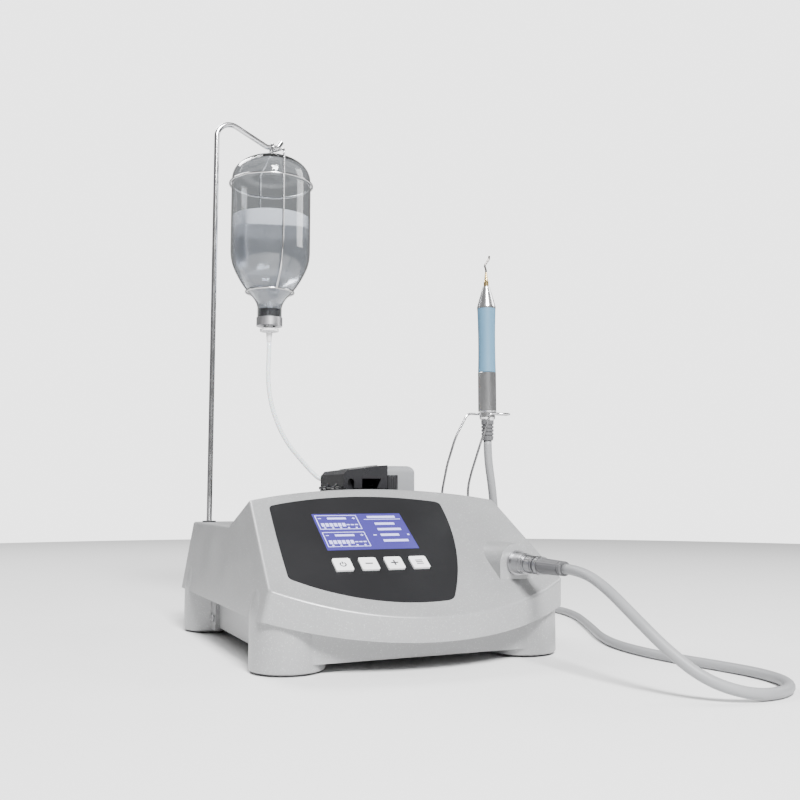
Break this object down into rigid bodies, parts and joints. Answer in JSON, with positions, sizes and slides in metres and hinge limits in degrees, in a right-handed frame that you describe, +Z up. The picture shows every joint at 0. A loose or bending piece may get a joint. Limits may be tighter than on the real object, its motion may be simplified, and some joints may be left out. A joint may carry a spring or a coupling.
{
  "type": "ultrasonic surgical unit",
  "caption": "Desktop ultrasonic dental unit: sloped control face, irrigation pump, hanging bottle on a pole, corded handpiece on a wire rest",
  "frame": {"origin": "on the table, under the middle of the housing", "axes": "+Z up, +Y to the rear (the user sits at -Y), +X to the user's right"},
  "size_m": [0.3706, 0.5482, 0.4689],
  "materials": {
    "silver_plastic": "satin metallic grey moulding",
    "charcoal_plastic": "smooth charcoal",
    "lcd_window": "lit violet-blue display window",
    "module_black": "matte",
    "white_key": "satin white",
    "board_green": "solder mask",
    "switch_black": "matte",
    "rubber_black": "matte",
    "screw_steel": "plated",
    "polished_steel": "polished",
    "satin_steel": "satin",
    "core_steel": "laminated",
    "black_plastic": "satin",
    "lid_plastic": "smooth",
    "cover_plastic": "satin light grey",
    "bottle_glass": "clear",
    "water": "clear liquid",
    "clear_tube": "translucent",
    "white_plastic": "gloss",
    "soft_aluminium": "satin",
    "hose_grey": "matte grey",
    "grip_blue": "matte light blue",
    "gold_tip": "nitride gold",
    "motor_steel": "zinc plated"
  },
  "bodies": {
    "unit": {"top_housing": "silver_plastic", "base_tray": "silver_plastic", "rubber_feet": "rubber_black", "housing_screws": "screw_steel", "front_panel": "charcoal_plastic", "display_window": "lcd_window", "display_module": "module_black", "key_board": "board_green", "key_switches": "switch_black", "hose_receptacle": "polished_steel", "receptacle_nut": "satin_steel", "plug_body": "polished_steel", "plug_boot": "hose_grey", "handpiece_rest": "polished_steel", "bottle_pole": "polished_steel", "pole_grommet": "rubber_black", "pole_bracket": "satin_steel", "bracket_screws": "screw_steel", "pump_body": "black_plastic", "lid_hinge_pin": "satin_steel", "pump_gearmotor": "motor_steel", "pump_tubing": "clear_tube", "tube_connector": "white_plastic", "outlet_barb": "white_plastic", "pump_cover": "cover_plastic", "rear_plate": "black_plastic", "mains_inlet": "black_plastic", "switch_bezel": "black_plastic", "footswitch_socket": "satin_steel", "main_board": "board_green", "transformer": "core_steel", "drip_tube": "clear_tube", "hose_front": "hose_grey", "hose_coil": "hose_grey", "hose_rear": "hose_grey"},
    "key_power": {"key_power": "white_key"},
    "key_minus": {"key_minus": "white_key"},
    "key_plus": {"key_plus": "white_key"},
    "key_mode": {"key_mode": "white_key"},
    "release_collar": {"plug_collar": "polished_steel"},
    "handpiece": {"handpiece_relief": "hose_grey", "handpiece_shell": "polished_steel", "grip_sleeve": "grip_blue", "nose_cone": "polished_steel", "ultrasonic_stack": "satin_steel", "working_tip": "gold_tip"},
    "bottle_rig": {"bottle": "bottle_glass", "saline": "water", "bottle_stopper": "rubber_black", "crimp_collar": "soft_aluminium", "drip_spike": "white_plastic", "bottle_cradle": "polished_steel"},
    "lid": {"pump_lid": "lid_plastic", "lid_spring_plate": "satin_steel"},
    "latch": {"lid_latch": "black_plastic"},
    "rotor": {"pump_rotor": "white_plastic"},
    "roller_1": {"pump_roller_1": "satin_steel"},
    "roller_2": {"pump_roller_2": "satin_steel"},
    "roller_3": {"pump_roller_3": "satin_steel"},
    "rocker": {"power_rocker": "black_plastic"}
  },
  "joints": [
    {"name": "key_power_press", "type": "slide", "parent": "unit", "child": "key_power", "axis": [0, 0.5606, -0.8281], "range_m": [0, 0.0008], "stiffness_N_per_m": 900, "springref_m": -0.0006},
    {"name": "key_minus_press", "type": "slide", "parent": "unit", "child": "key_minus", "axis": [0, 0.5606, -0.8281], "range_m": [0, 0.0008], "stiffness_N_per_m": 900, "springref_m": -0.0006},
    {"name": "key_plus_press", "type": "slide", "parent": "unit", "child": "key_plus", "axis": [0, 0.5606, -0.8281], "range_m": [0, 0.0008], "stiffness_N_per_m": 900, "springref_m": -0.0006},
    {"name": "key_mode_press", "type": "slide", "parent": "unit", "child": "key_mode", "axis": [0, 0.5606, -0.8281], "range_m": [0, 0.0008], "stiffness_N_per_m": 900, "springref_m": -0.0006},
    {"name": "release_collar_pull", "type": "slide", "parent": "unit", "child": "release_collar", "axis": [0, -1, 0], "range_m": [0, 0.0025], "stiffness_N_per_m": 800, "springref_m": -0.001},
    {"name": "handpiece_lift", "type": "slide", "parent": "unit", "child": "handpiece", "axis": [0, 0, 1], "range_m": [0, 0.03], "deforming": ["hose_rear"]},
    {"name": "bottle_swing", "type": "hinge", "parent": "unit", "child": "bottle_rig", "pos_m": [-0.0439, 0.1274, 0.4505], "axis": [1, 0, 0], "range_deg": [-12, 12], "deforming": ["drip_tube"]},
    {"name": "lid_hinge", "type": "hinge", "parent": "unit", "child": "lid", "pos_m": [-0.0053, 0.064, 0.1246], "axis": [0, -1, 0], "range_deg": [0, 100]},
    {"name": "latch_push", "type": "slide", "parent": "unit", "child": "latch", "axis": [1, 0, 0], "range_m": [0, 0.0015], "stiffness_N_per_m": 1500, "springref_m": -0.001},
    {"name": "rotor_spin", "type": "hinge", "parent": "unit", "child": "rotor", "pos_m": [0.0045, 0.064, 0.114], "axis": [1, 0, 0], "continuous": true},
    {"name": "roller_1_spin", "type": "hinge", "parent": "rotor", "child": "roller_1", "pos_m": [0.0045, 0.07249, 0.12249], "axis": [1, 0, 0], "continuous": true},
    {"name": "roller_2_spin", "type": "hinge", "parent": "rotor", "child": "roller_2", "pos_m": [0.0045, 0.06711, 0.10241], "axis": [1, 0, 0], "continuous": true},
    {"name": "roller_3_spin", "type": "hinge", "parent": "rotor", "child": "roller_3", "pos_m": [0.0045, 0.05241, 0.11711], "axis": [1, 0, 0], "continuous": true},
    {"name": "power_rocker_tilt", "type": "hinge", "parent": "unit", "child": "rocker", "pos_m": [0.002, 0.1366, 0.064], "axis": [1, 0, 0], "range_deg": [0, 16]}
  ],
  "couplings": [
    {"joint": "roller_1_spin", "follows": "rotor_spin", "ratio": -4},
    {"joint": "roller_2_spin", "follows": "rotor_spin", "ratio": -4},
    {"joint": "roller_3_spin", "follows": "rotor_spin", "ratio": -4}
  ]
}
